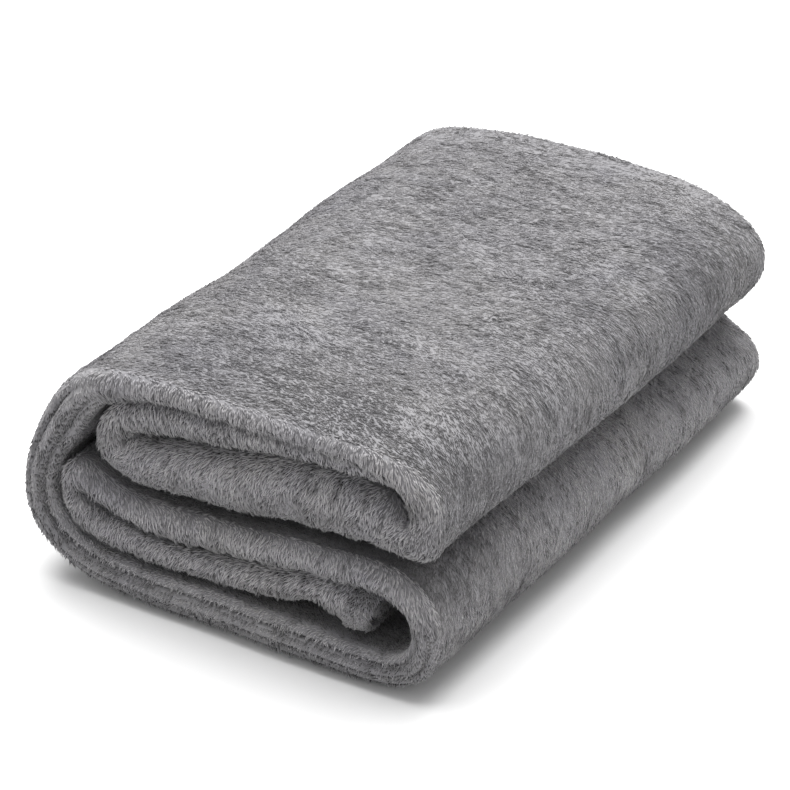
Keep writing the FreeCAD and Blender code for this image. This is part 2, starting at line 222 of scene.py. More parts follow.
NOSE_POINTS = 17      # points of the sheet's middle over a folded front end
LONG_POINTS = 62      # and along an outside ply
HIDDEN_POINTS = 20    # and along a ply between the others
OUTER, SECOND, THIRD, INNER = 0.125, 0.375, 0.625, 0.875     # the middles of the four plies
LONGEST_FOLD = 24.0   # band thickness past which the fold at the back end grows no longer


def fold_between(one, other, bend):
    """Shares through the band around a fold that joins two plies; bend runs from 0 to half a turn."""
    return (one + other) / 2 + (one - other) / 2 * np.cos(bend)


def ply_path(thickness, set_back, ridge, swell):
    """The sheet's way through the band, from one hemmed side to the other, at one place along the
    section: shares of the band's thickness from its outer face, and places from front to back.
    Ridge is how deep the grooves between the plies are pressed into the folded front end, and
    swell, from 0 to 1, lets the inner ply fill the space behind the front end."""
    nose = np.minimum(0.375 * thickness, 11 + 0.08 * thickness)
    fold = OUTER * np.minimum(thickness, LONGEST_FOLD)
    bend = np.linspace(0, math.pi, NOSE_POINTS)[1:-1]
    grooves = ridge * (0.5 + 0.5 * np.cos(6 * bend)) * np.sin(bend)
    front = FRONT + set_back
    inner_front = front + 0.9 * nose
    long_steps = np.linspace(0, 1, LONG_POINTS)
    hidden_steps = np.linspace(0, 1, HIDDEN_POINTS)
    hem_a, hem_d = BACK - 3.0, BACK - 5.0
    inner_places = hem_a + (front + nose - hem_a) * long_steps
    filled = swell * (0.125 + 0.3 / thickness) * ramp(inner_places, FRONT + 22, FRONT + 70)
    shares = np.concatenate([
        INNER + filled,
        fold_between(INNER, OUTER, bend),
        np.full(len(long_steps), OUTER),
        fold_between(OUTER, SECOND, bend),
        np.full(len(hidden_steps), SECOND),
        fold_between(SECOND, THIRD, bend),
        np.full(len(hidden_steps), THIRD),
    ])
    places = np.concatenate([
        inner_places,
        front + nose - nose * np.sin(bend) + grooves,
        front + nose + (BACK - fold - front - nose) * long_steps,
        BACK - fold + fold * np.sin(bend),
        BACK - fold + (inner_front + fold - BACK + fold) * hidden_steps,
        inner_front + fold - fold * np.sin(bend),
        inner_front + fold + (hem_d - inner_front - fold) * hidden_steps,
    ])
    return shares, places


def band_points(rows, shares, places):
    """Points in the row frame for section rows, shares through the band and places along it."""
    x = rows[:, 0:1] + (rows[:, 2:3] - rows[:, 0:1]) * shares
    z = rows[:, 1:2] + (rows[:, 3:4] - rows[:, 1:2]) * shares
    return np.stack([x, places, z], axis=-1)


GRID_STEP = 4.4                               # across the limbs
PRESSED_STATIONS = (30.5, 34, 48, 53)         # where grooves show in the folded front end
FILLED_STATIONS = (12.0, 13.6, 16.8, 18.0)    # where the inner ply swells behind the front end


def stretch_of(stations, start, full, fading, end):
    """1 from the station full to the station fading, and 0 before start and after end."""
    return ramp(stations, start, full) * ramp(-stations, -end, -fading)


def cloth_grid(first, last):
    """The sheet's middle surface between two stations, as a grid of points: across the limbs, and
    along the sheet's own length. Also the band's thickness and its grooves' depth in each row."""
    stations = station_steps(first, last, GRID_STEP)
    rows = section_at(stations)
    thickness = np.hypot(rows[:, 0] - rows[:, 2], rows[:, 1] - rows[:, 3])
    pressed = stretch_of(stations, *PRESSED_STATIONS)
    places = np.stack([stations * 9, stations * 0, stations * 0], axis=1)
    ridges = pressed * (6.0 + 1.8 * waves(places, 26, 7))
    swell = stretch_of(stations, *FILLED_STATIONS)
    paths = [ply_path(*values) for values in zip(thickness, rows[:, 4], ridges, swell)]
    shares = np.array([p[0] for p in paths])
    places = np.array([p[1] for p in paths])
    points = band_points(rows, shares, places)
    shape = points.shape
    return settle(points.reshape(-1, 3)).reshape(shape), thickness, ridges


def unit(vectors):
    """The same directions, each with length 1."""
    return vectors / np.maximum(np.linalg.norm(vectors, axis=-1, keepdims=True), 1e-9)


def grid_normals(grid):
    """Unit vectors that point out of the band from its two outside plies."""
    along_section = np.gradient(grid, axis=0)
    along_sheet = np.gradient(grid, axis=1)
    return unit(np.cross(along_sheet, along_section))


def half_cloth(thickness):
    """Half the cloth's own thickness where the band of four plies has this thickness."""
    return np.minimum(CLOTH, 0.2 * thickness) / 2


def hanging_down(normals):
    """The way down along each surface that has these normals."""
    return np.array([0.0, 0.0, -1.0]) - normals * -normals[..., 2:3]


# ---------------------------------------------------------------- meshes

def new_mesh_object(name, points, faces, corners, uv):
    """A mesh object from arrays: points in millimetres, faces as rows of point numbers with the
    given count of corners, and a UV place for each face corner."""
    mesh = bpy.data.meshes.new(name)
    mesh.vertices.add(len(points))
    mesh.vertices.foreach_set("co", (points * MM).astype(np.float32).ravel())
    mesh.loops.add(faces.size)
    mesh.loops.foreach_set("vertex_index", faces.astype(np.int32).ravel())
    mesh.polygons.add(len(faces))
    mesh.polygons.foreach_set("loop_start", np.arange(0, faces.size, corners, dtype=np.int32))
    layer = mesh.uv_layers.new(name="OFBake")
    layer.data.foreach_set("uv", uv.astype(np.float32).ravel())
    mesh.update(calc_edges=True)
    mesh.validate()
    piece = bpy.data.objects.new(name, mesh)
    bpy.context.scene.collection.objects.link(piece)
    return piece


def sheet_solid(name, grid, normals, thickness):
    """A closed sheet of cloth about a grid of middle points, with its own bake map: the outside
    face on the left half of the map and the inside face on the right half."""
    rows, columns = grid.shape[:2]
    half = half_cloth(thickness)[:, None, None]
    points = np.concatenate([
        (grid + normals * half).reshape(-1, 3), (grid - normals * half).reshape(-1, 3),
    ])
    index = np.arange(rows * columns).reshape(rows, columns)
    other = index + rows * columns
    quad = np.stack([index[:-1, :-1], index[:-1, 1:], index[1:, 1:], index[1:, :-1]], axis=-1)
    outside = quad.reshape(-1, 4)
    inside = (quad + rows * columns)[..., ::-1].reshape(-1, 4)
    rims = []
    for near, far in ((index[0], other[0]), (index[:, -1], other[:, -1])):
        rims.append(np.stack([near[:-1], far[:-1], far[1:], near[1:]], axis=-1))
    for near, far in ((index[-1], other[-1]), (index[:, 0], other[:, 0])):
        rims.append(np.stack([near[1:], far[1:], far[:-1], near[:-1]], axis=-1))
    faces = np.concatenate([outside, inside, *rims])
    u = np.broadcast_to(np.linspace(0.02, 0.98, rows)[:, None], (rows, columns))
    v = np.broadcast_to(np.linspace(0.02, 0.98, columns)[None, :], (rows, columns))
    uv = np.concatenate([
        np.stack([u * 0.48, v], -1).reshape(-1, 2), np.stack([0.52 + u * 0.48, v], -1).reshape(-1, 2),
    ])
    piece = new_mesh_object(name, points, faces, 4, uv[faces.ravel()])
    piece.data.shade_smooth()
    return piece


def scatter_on_grid(grid, weights, area_each):
    """Random places on a grid's cells, about one for each area_each square millimetres where the
    weight is 1: cell numbers and the place within each cell."""
    du = grid[1:, :-1] - grid[:-1, :-1]
    dv = grid[:-1, 1:] - grid[:-1, :-1]
    area = np.linalg.norm(np.cross(du, dv), axis=2)
    wanted = (area * weights / area_each).ravel()
    count = np.floor(wanted + rng.random(wanted.shape)).astype(int)
    cells = np.repeat(np.arange(len(wanted)), count)
    columns = grid.shape[1] - 1
    return cells // columns, cells % columns, rng.random(len(cells)), rng.random(len(cells))


def between(values, i, j, a, b):
    """Values at places within grid cells."""
    a, b = a[:, None], b[:, None]
    low = values[i, j] * (1 - b) + values[i, j + 1] * b
    high = values[i + 1, j] * (1 - b) + values[i + 1, j + 1] * b
    return low * (1 - a) + high * a


def streaks(along, across, seed):
    """Irregular values of about -1 to 1 in short streaks: they change over 1 along and 1 across."""
    table = np.random.default_rng(seed).uniform(-1, 1, (256, 256))
    i, j = np.floor(along).astype(int), np.floor(across).astype(int)
    a, b = along - i, across - j
    a, b = a * a * (3 - 2 * a), b * b * (3 - 2 * b)
    i, j = i % 256, j % 256
    after, beside = (i + 1) % 256, (j + 1) % 256
    near = table[i, j] * (1 - a) + table[after, j] * a
    far = table[i, beside] * (1 - a) + table[after, beside] * a
    return near * (1 - b) + far * b


def sheet_places(grid):
    """Distances in millimetres across the limbs and along the sheet at each point of a grid."""
    across_limbs = np.linalg.norm(np.diff(grid, axis=0, prepend=grid[:1]), axis=2).cumsum(axis=0)
    along_sheet = np.linalg.norm(np.diff(grid, axis=1, prepend=grid[:, :1]), axis=2).cumsum(axis=1)
    return np.stack([across_limbs, along_sheet], axis=2)


PILE_LENGTH = 3.7                # of a tuft of middling size
LEAF_HALF_WIDTH = (0.20, 0.38)
PILE_LEAN = 15                   # degrees up from the cloth
LEAST_LEAN, MOST_LEAN = 4, 40
ROOT_DEPTH = 0.3                 # how far a tuft is rooted in the cloth
LOWEST_TIP = -0.9                # no tuft reaches lower, so all stay above the floor
LEAF_FACES = np.array([(0, 3, 1), (0, 2, 3), (0, 1, 2), (1, 3, 2)])
LEAF_HEIGHTS = [0.0, 0.5, 0.5, 1.0]


def tuft_turns(root, up, at_fold):
    """How far each tuft is turned aside from the nap: brushed over at the right of the front end,
    and swirled on the steep faces."""
    right_front = ramp(root[:, 0], -60, 90) * ramp(-root[:, 1], -40, 130)
    return (
        rng.normal(0, 0.13, len(root))
        + 0.26 * waves(root, 30, 21)
        + 0.13 * waves(root, 9, 22)
        - np.where(at_fold, 0, 0.5 * right_front)
        + 0.4 * ramp(-up[:, 2], -0.7, -0.2) * waves(root, 7, 31)
    )


def leaf_points(root, up, lie, side, clump, length, half):
    """Four points for each tuft: its root, the two sides of its middle, and its tip."""
    lean = np.radians(
        PILE_LEAN + 3 * waves(root, 34, 24) + 7 * clump + rng.normal(0, 3, len(root))
    )
    lean = np.clip(lean, math.radians(LEAST_LEAN), math.radians(MOST_LEAN))
    way = lie * np.cos(lean)[:, None] + up * np.sin(lean)[:, None]
    arch = up * np.cos(lean)[:, None] - lie * np.sin(lean)[:, None]
    size = length * (1 + 0.15 * clump)
    reach = (PILE_LENGTH * size * rng.uniform(0.75, 1.2, len(root)))[:, None]
    broad = rng.uniform(*LEAF_HALF_WIDTH, len(root))[:, None]
    start = root + up * (half - ROOT_DEPTH)[:, None]
    middle = start + way * reach * 0.45 + arch * 0.06 * reach
    tip = start + way * reach - up * 0.05 * reach
    points = np.stack([
        start, middle - side * broad, middle + side * broad, tip,
    ], axis=1)
    points[:, 0] -= arch * 0.5 * broad
    points = points.reshape(-1, 3)
    points[:, 2] = np.maximum(points[:, 2], LOWEST_TIP)
    return points


def leaf_map(i, j, a, b, rows, columns):
    """Places of the leaves' points on the bake map: each lies where its root is on the grid."""
    place = np.stack([(i + a) / rows, (j + b) / columns], axis=1)
    toward = np.stack([np.zeros(len(i)), np.full(len(i), 0.6 / columns)], axis=1)
    beside = np.stack([np.full(len(i), 0.12 / rows), np.zeros(len(i))], axis=1)
    places = np.stack([
        place, place + toward * 0.4 - beside, place + toward * 0.4 + beside, place + toward,
    ], axis=1).reshape(-1, 2)
    return 0.01 + 0.98 * np.clip(places, 0, 1)


def tuft_tints(root, up, at_fold, clump, u, v, shade):
    """How light each tuft is: painted shade in the partings between clumps, under the folded ends,
    on the top where the pile hangs over the front and on the upper right side, a painted highlight
    on the folds' upper faces, and random tone and streaks."""
    # painted shade in the partings between the clumps
    dark = -np.where(at_fold, 2.4, 1.9) * ramp(clump, 0.1, 0.95)
    # painted highlight on the upward faces of the folded ends, and painted shade on their downward
    # faces
    face = np.where(at_fold, 0.3 + 1.7 * ramp(up[:, 2], 0.05, 0.5), 0)
    face = face - np.where(at_fold, 1.1 * ramp(-up[:, 2], -0.3, 0.3), 0)
    # painted shade on the top near the front, where the pile hangs over it, and on the upper part of
    # the right side
    hanging = ramp(-root[:, 1], 105, 172) * ramp(root[:, 0], -70, 40) * ramp(up[:, 2], 0.1, 0.7)
    right_side_painted_shade = ramp(up[:, 0], 0.0, 0.8) * ramp(root[:, 2], 60, 90)
    # takes off the painted shade near the front and on the right side, and adds the grooves' painted
    # shade
    face = face - np.where(at_fold, 0, 1.5 * hanging + 0.9 * right_side_painted_shade) + shade
    tint = 0.4 + dark + rng.normal(0, 0.5, len(root)) + 0.4 * streaks(u / 34, v / 21, 27) + face
    return np.clip(tint, -1.6, 2.4)


def pile_on(
    name, grid, normals, weights, nap, over, folded, half, shade, fold_length, area_each=1.0
):
    """Tufts of pile on the outside of a grid of cloth. Each is a small closed leaf of four faces
    that leans along the nap, a unit vector field on the grid. Over is where the nap lies along
    the sheet, folded marks the columns of a folded end, where the tufts are fold_length times as
    long, half is half the cloth's thickness in each row, and shade is darker where it is below
    0."""
    i, j, a, b = scatter_on_grid(grid, weights, area_each)
    root = between(grid, i, j, a, b)
    up = unit(between(normals, i, j, a, b))
    lie = between(nap, i, j, a, b)
    at_fold = folded[j]
    turn = tuft_turns(root, up, at_fold)
    side = unit(np.cross(up, lie))
    lie = np.cross(side, up)
    lie, side = (
        lie * np.cos(turn)[:, None] + side * np.sin(turn)[:, None],
        side * np.cos(turn)[:, None] - lie * np.sin(turn)[:, None],
    )
    u, v = between(sheet_places(grid), i, j, a, b).T
    turned = over[i, j]
    along, across = np.where(turned, v, u), np.where(turned, u, v)
    coarse = np.where(at_fold, 1.7, 1.0)
    clump = streaks(along / 4 / coarse, across / 1.15 / coarse, 23)
    clump = clump + 0.45 * streaks(along / 14, across / 5, 25)
    at_back = ramp(root[:, 1], BACK - 30, BACK - 12)
    length = np.where(at_fold, fold_length[i], 1.0 - 0.2 * at_back)
    points = leaf_points(root, up, lie, side, clump, length, half[i])
    corners = (np.arange(len(root)) * len(LEAF_HEIGHTS))[:, None, None]
    faces = (corners + LEAF_FACES).reshape(-1, 3)
    map_points = leaf_map(i, j, a, b, grid.shape[0] - 1, grid.shape[1] - 1)
    piece = new_mesh_object(name, points, faces, 3, map_points[faces.ravel()])
    tint = np.repeat(tuft_tints(root, up, at_fold, clump, u, v, shade[i, j]), len(LEAF_HEIGHTS))
    height = np.tile(LEAF_HEIGHTS, len(root))
    for label, values in (("tint", tint), ("height", height)):
        layer = piece.data.attributes.new(label, "FLOAT", "POINT")
        layer.data.foreach_set("value", values.astype(np.float32))
    piece.data.materials.append(PILE)
    return piece


HEM_PROFILE = np.array([
    # distance in from the ply's edge, share of the hem's half thickness
    (3.0, -1.0), (0.6, -0.95), (-0.7, -0.55), (-1.1, 0.0), (-0.7, 0.55), (0.8, 1.0),
    (4.0, 1.15), (7.6, 1.0), (8.6, 0.75), (9.6, 1.0), (11.5, 0.8),
])
STITCH_PLACE, STITCH_STEP = 8.6, 3.6     # in from the edge, and from one stitch to the next
STITCH_SIZE = (1.45, 0.30, 0.26)         # half its length, breadth and height
SEAM_COLUMN = 6                          # a profile point on the hem's outer side
HEM_BAND = 5.0                           # the band thickness that makes sheet_solid 1 mm thick


def hem_grid(edge, inward, normals, half):
    """The turned hem of a ply along its edge: a strip that wraps it, pressed down at the seam."""
    reach, rise = HEM_PROFILE.T
    rise = rise * (half[:, None] + 0.55)
    return (
        edge[:, None]
        + inward[:, None] * reach[None, :, None]
        + normals[:, None] * rise[..., None]
    )


def stitch_shape():
    """One stitch, lying along X, as points in millimetres and triangles."""
    bpy.ops.object.select_all(action="DESELECT")
    bpy.ops.mesh.primitive_uv_sphere_add(segments=6, ring_count=3, radius=1)
    stitch = bpy.context.object
    bpy.ops.object.mode_set(mode="EDIT")
    bpy.ops.mesh.select_all(action="SELECT")
    bpy.ops.transform.rotate(value=math.pi / 2, orient_axis="Y", center_override=(0, 0, 0))
    bpy.ops.transform.resize(value=STITCH_SIZE)
    bpy.ops.mesh.quads_convert_to_tris()
    bpy.ops.mesh.normals_make_consistent(inside=False)
    bpy.ops.object.mode_set(mode="OBJECT")
    points = np.array([vertex.co[:] for vertex in stitch.data.vertices])
    faces = np.array([face.vertices[:] for face in stitch.data.polygons])
    bpy.data.objects.remove(stitch)
    return points, faces


def stitches_on(edge, inward, normals, half, side):
    """Points of a line of stitches on one side of a hem, copied from one stitch."""
    along = np.concatenate([[0], np.linalg.norm(np.diff(edge, axis=0), axis=1).cumsum()])
    at = np.arange(STITCH_STEP / 2, along[-1], STITCH_STEP)

    def pick(values):
        return np.stack([np.interp(at, along, values[:, k]) for k in range(values.shape[1])], 1)

    rise = np.interp(at, along, half) + (0.95 if side > 0 else 0.1)
    up = unit(pick(normals))
    run = unit(pick(np.gradient(edge, axis=0)))
    across = np.cross(up, run)
    middle = pick(edge) + pick(inward) * STITCH_PLACE + up * (rise * side)[:, None]
    frame_axes = np.stack([run, across, up], axis=1)
    return middle[:, None] + STITCH[0] @ frame_axes


def hems_for(name, grid, normals, half, sides):
    """Hem and thread pieces for the ply edges of one cloth piece. Each side is a hem's name with
    the edge it lies on: first or last column, or first or last row."""
    hems, lines = [], []
    for label, where in sides:
        if where in ("first column", "last column"):
            at, step = (0, 1) if where == "first column" else (-1, -2)
            edge, near, out, thick = grid[:, at], grid[:, step], normals[:, at], half
        else:
            at, step = (0, 1) if where == "first row" else (-1, -2)
            edge, near, out = grid[at], grid[step], normals[at]
            thick = np.full(len(edge), half[at])
        inward = unit(near - edge)
        strip = hem_grid(edge, inward, out, thick)
        strip_normals = grid_normals(strip)
        if (strip_normals[:, SEAM_COLUMN] * out).sum() < 0:
            strip = strip[:, ::-1]
            strip_normals = grid_normals(strip)
        hem = sheet_solid(label, strip, strip_normals, np.full(len(strip), HEM_BAND))
        hem.data.materials.append(HEM)
        hems.append((hem, strip, strip_normals))
        for side in (1, -1):
            lines.append(stitches_on(edge, inward, out, thick, side))
    points = np.concatenate(lines)
    count = len(STITCH[0])
    faces = (np.arange(len(points)) * count)[:, None, None] + STITCH[1]
    points, faces = points.reshape(-1, 3), faces.reshape(-1, 3)
    place = np.stack([points[:, 0] % 100, points[:, 1] % 100], axis=1) / 100
    thread = new_mesh_object(name + "_hem_thread", points, faces, 3, place[faces.ravel()])
    thread.data.shade_smooth()
    thread.data.materials.append(THREAD)
    return hems, thread


# ---------------------------------------------------------------- materials

def principled(name, roughness):
    """A new material with its nodes, its links and its surface shader."""
    material = bpy.data.materials.new(name)
    material.use_nodes = True
    shader = material.node_tree.nodes["Principled BSDF"]
    shader.inputs["Roughness"].default_value = roughness
    return material, material.node_tree.nodes, material.node_tree.links, shader


def nap_shading_and_streaks_group():
    """Painted nap shading: slow light and dark patches that stand in for how the pile, brushed one
    way or the other, catches the light, mixed with short streaks of the pile's own tone.
    """
    group = bpy.data.node_groups.new("painted_nap_shading", "ShaderNodeTree")
    for label, kind, value in (
        ("Dark", "NodeSocketColor", (0.1, 0.1, 0.1, 1)),
        ("Light", "NodeSocketColor", (0.3, 0.3, 0.3, 1)),
        ("Patch Scale", "NodeSocketFloat", 20.0),
        ("Streak Scale", "NodeSocketFloat", 300.0),
    ):
        socket = group.interface.new_socket(name=label, in_out="INPUT", socket_type=kind)
        socket.default_value = value
    group.interface.new_socket(name="Color", in_out="OUTPUT", socket_type="NodeSocketColor")
    group.interface.new_socket(name="Height", in_out="OUTPUT", socket_type="NodeSocketFloat")
    nodes, links = group.nodes, group.links
    inlet = nodes.new("NodeGroupInput")
    outlet = nodes.new("NodeGroupOutput")
    place = nodes.new("ShaderNodeTexCoord")
    # the slow patches are painted shading of the brushed nap; the streaks are the pile's own tone
    patch = nodes.new("ShaderNodeTexNoise")
    patch.inputs["Detail"].default_value = 4.0
    patch.inputs["Distortion"].default_value = 0.6
    streak = nodes.new("ShaderNodeTexNoise")
    streak.inputs["Detail"].default_value = 3.0
    stretch = nodes.new("ShaderNodeMapping")
    stretch.inputs["Scale"].default_value = (0.45, 1.0, 0.8)
    patch_range, streak_range = (nodes.new("ShaderNodeMapRange") for _ in range(2))
    for contrast in (patch_range, streak_range):
        contrast.inputs["From Min"].default_value = 0.3
        contrast.inputs["From Max"].default_value = 0.7
    both = nodes.new("ShaderNodeMath")
    both.operation = "MULTIPLY_ADD"
    both.inputs[1].default_value = 0.35
    share = nodes.new("ShaderNodeMath")
    share.operation = "MULTIPLY"
    share.inputs[1].default_value = 0.65
    mix = nodes.new("ShaderNodeMix")
    mix.data_type = "RGBA"
    links.new(place.outputs["Object"], patch.inputs["Vector"])
    links.new(place.outputs["Object"], stretch.inputs["Vector"])
    links.new(stretch.outputs["Vector"], streak.inputs["Vector"])
    links.new(inlet.outputs["Patch Scale"], patch.inputs["Scale"])
    links.new(inlet.outputs["Streak Scale"], streak.inputs["Scale"])
    links.new(patch.outputs["Fac"], patch_range.inputs["Value"])
    links.new(streak.outputs["Fac"], streak_range.inputs["Value"])
    links.new(patch_range.outputs["Result"], share.inputs[0])
    links.new(streak_range.outputs["Result"], both.inputs[0])
    links.new(share.outputs["Value"], both.inputs[2])
    links.new(both.outputs["Value"], mix.inputs["Factor"])
    links.new(inlet.outputs["Dark"], mix.inputs["A"])
    links.new(inlet.outputs["Light"], mix.inputs["B"])
    links.new(mix.outputs["Result"], outlet.inputs["Color"])
    links.new(streak.outputs["Fac"], outlet.inputs["Height"])
    return group


NAP_SHADING_AND_STREAKS = nap_shading_and_streaks_group()


def add_nap_shading_and_streaks(nodes, dark, light, patch_scale, streak_scale):
    """The painted nap shading and streaks in one material, with its own two colours and scales."""
    group = nodes.new("ShaderNodeGroup")
    group.node_tree = NAP_SHADING_AND_STREAKS
    group.inputs["Dark"].default_value = (*dark, 1)
    group.inputs["Light"].default_value = (*light, 1)
    group.inputs["Patch Scale"].default_value = patch_scale
    group.inputs["Streak Scale"].default_value = streak_scale
    return group


def add_bump(nodes, links, shader, height, strength, distance):
    """Raises a material's surface by a height, over a distance in metres."""
    bump = nodes.new("ShaderNodeBump")
    bump.inputs["Strength"].default_value = strength
    bump.inputs["Distance"].default_value = distance
    links.new(height, bump.inputs["Height"])
    links.new(bump.outputs["Normal"], shader.inputs["Normal"])


def ground_material():
    """The knitted ground between the tufts, darker than the pile as painted shade down among the
    tufts, with its roots as bumps.
    """
    material, nodes, links, shader = principled("plush_ground", 0.95)
    # painted shade: colours darker than the pile's, for the ground seen down between the tufts
    nap = add_nap_shading_and_streaks(nodes, (0.19, 0.187, 0.200), (0.26, 0.255, 0.262), 16, 420)
    links.new(nap.outputs["Color"], shader.inputs["Base Color"])
    add_bump(nodes, links, shader, nap.outputs["Height"], 0.7, 0.0012)
    shader.inputs["Sheen Weight"].default_value = 0.25
    shader.inputs["Sheen Roughness"].default_value = 0.5
    return material


def pile_material():
    """The plush pile: painted shade makes each tuft dark at the root and pale at the tip, and each
    tuft gets its own painted light and tone from its tint.
    """
    material, nodes, links, shader = principled("plush_pile", 0.8)
    nap = add_nap_shading_and_streaks(nodes, (0.265, 0.259, 0.280), (0.370, 0.359, 0.360), 17, 220)
    # tint holds each tuft's painted light and shade from tuft_tints, with its random tone
    tint = nodes.new("ShaderNodeAttribute")
    tint.attribute_name = "tint"
    height = nodes.new("ShaderNodeAttribute")
    height.attribute_name = "height"
    tone = nodes.new("ShaderNodeMath")
    tone.operation = "MULTIPLY_ADD"
    tone.inputs[1].default_value = 0.24
    # painted shade deep in the pile: darker towards each tuft's root
    root_painted_shade = nodes.new("ShaderNodeMapRange")
    root_painted_shade.inputs["To Min"].default_value = 0.42
    root_painted_shade.inputs["To Max"].default_value = 1.06
    scale = nodes.new("ShaderNodeVectorMath")
    scale.operation = "SCALE"
    links.new(height.outputs["Fac"], root_painted_shade.inputs["Value"])
    links.new(tint.outputs["Fac"], tone.inputs[0])
    links.new(root_painted_shade.outputs["Result"], tone.inputs[2])
    links.new(nap.outputs["Color"], scale.inputs[0])
    links.new(tone.outputs["Value"], scale.inputs["Scale"])
    links.new(scale.outputs["Vector"], shader.inputs["Base Color"])
    shader.inputs["Sheen Weight"].default_value = 0.3
    shader.inputs["Sheen Roughness"].default_value = 0.4
    shader.inputs["Specular IOR Level"].default_value = 0.25
    return material


def hem_material():
    """The turned hem: the same plush, pressed flat, with its pile matted."""
    material, nodes, links, shader = principled("pressed_hem", 0.9)
    nap = add_nap_shading_and_streaks(nodes, (0.13, 0.128, 0.138), (0.25, 0.245, 0.252), 40, 700)
    links.new(nap.outputs["Color"], shader.inputs["Base Color"])
    add_bump(nodes, links, shader, nap.outputs["Height"], 1.0, 0.0016)
    shader.inputs["Sheen Weight"].default_value = 0.3
    return material


def thread_material():
    """Polyester sewing thread: smoother and a little paler than the pile, with a twisted lay."""
    material, nodes, links, shader = principled("sewing_thread", 0.5)
    nap = add_nap_shading_and_streaks(nodes, (0.36, 0.355, 0.372), (0.46, 0.452, 0.462), 60, 900)
    place = nodes.new("ShaderNodeTexCoord")
    twist = nodes.new("ShaderNodeTexWave")
    twist.bands_direction = "DIAGONAL"
    twist.inputs["Scale"].default_value = 520
    links.new(nap.outputs["Color"], shader.inputs["Base Color"])
    links.new(place.outputs["Object"], twist.inputs["Vector"])
    add_bump(nodes, links, shader, twist.outputs["Fac"], 0.4, 0.0002)
    return material


GROUND = ground_material()
PILE = pile_material()
HEM = hem_material()
THREAD = thread_material()
STITCH = stitch_shape()


# ---------------------------------------------------------------- camera, light and surface

VIEW_AZIMUTH, VIEW_ELEVATION = 31.76, 30.48      # degrees, from the front towards the right
VIEW_DISTANCE = 2.255                            # metres
LENS, SENSOR = 185.924, 36                      # millimetres
FLOOR_LEVEL = -0.0012                            # metres, under the lowest tips of the pile


def add_camera():
    azimuth, elevation = math.radians(VIEW_AZIMUTH), math.radians(VIEW_ELEVATION)
    back = Vector((
        math.sin(azimuth) * math.cos(elevation),
        -math.cos(azimuth) * math.cos(elevation),
        math.sin(elevation),
    ))
    right = Vector((math.cos(azimuth), math.sin(azimuth), 0))
    up = back.cross(right)
    aim = Vector((0, 0, HEIGHT * MM * 0.506)) - 0.0081 * right - 0.0127 * up
    bpy.ops.object.camera_add(location=aim + VIEW_DISTANCE * back)
    camera = bpy.context.object
    camera.rotation_euler = back.to_track_quat("Z", "Y").to_euler()
    camera.data.sensor_width = SENSOR
    camera.data.lens = LENS
    camera.data.clip_end = 20
    bpy.context.scene.camera = camera


def add_area_light(name, place, size, power, aim=(0, 0, 0.06)):
    light = bpy.data.lights.new(name, "AREA")
    light.shape = "SQUARE"
    light.size = size
    light.energy = power
    lamp = bpy.data.objects.new(name, light)
    lamp.location = place
    lamp.rotation_euler = (Vector(place) - Vector(aim)).to_track_quat("Z", "Y").to_euler()
    bpy.context.scene.collection.objects.link(lamp)


def add_surroundings():
    bpy.ops.mesh.primitive_plane_add(size=12, location=(0, 0, FLOOR_LEVEL))
    floor = bpy.context.object
    floor.name = "floor"
    material, _, _, shader = principled("pale_floor", 0.9)
    shader.inputs["Base Color"].default_value = (0.92, 0.92, 0.92, 1)
    floor.data.materials.append(material)
    world = bpy.data.worlds.new("studio")
    world.use_nodes = True
    background = world.node_tree.nodes["Background"]
    background.inputs["Color"].default_value = (1, 1, 1, 1)
    background.inputs["Strength"].default_value = 0.52
    bpy.context.scene.world = world
    bpy.context.scene.view_settings.view_transform = "Standard"
    add_area_light("top_light", (-0.2, 0.3, 1.8), 2.0, 72)


# ---------------------------------------------------------------- the throw

INNER_PLY, NOSE, OUTER_PLY, BACK_FOLD = range(4)      # the stretches of the sheet that show

# How dense the pile is on the outer and the inner ply, away from the ends.
OUTER_SHARE = {
    "top_cloth": 1.0,
    "upper_turn_cloth": 1.0,
    "lower_turn_cloth": 1.0,
    "upper_spine_cloth": 1.0,
    "lower_spine_cloth": 1.0,
    "upper_tuck_cloth": 0.0,
    "lower_tuck_cloth": 0.0,
    "base_cloth": 0.0,
}
INNER_SHARE = {"upper_spine_cloth": 0.3, "lower_spine_cloth": 0.3}
HIDDEN_SHARE = 0.3      # on the outer ply of the other pieces


def column_kinds():
    """Which column of a cloth grid belongs to which stretch of the sheet."""
    counts = (
        LONG_POINTS, NOSE_POINTS - 2, LONG_POINTS, NOSE_POINTS - 2,
        HIDDEN_POINTS, NOSE_POINTS - 2, HIDDEN_POINTS,
    )
    return np.repeat(np.arange(7), counts)


def nap_field(grid, normals, kinds):
    """The way the pile lies: over the band towards the right side on its outer face, and hanging
    down over the folded ends. Also gives where it lies along the sheet and not across it."""
    along_section = unit(-np.gradient(grid, axis=0))
    along_sheet = unit(np.gradient(grid, axis=1))
    bend = (kinds == NOSE) | (kinds == BACK_FOLD)
    hanging = hanging_down(normals) + 0.25 * along_section
    nap = unit(np.where(bend[None, :, None], hanging, along_section))
    across = np.abs((nap * along_sheet).sum(axis=2)) > np.abs((nap * along_section).sum(axis=2))
    return nap, across


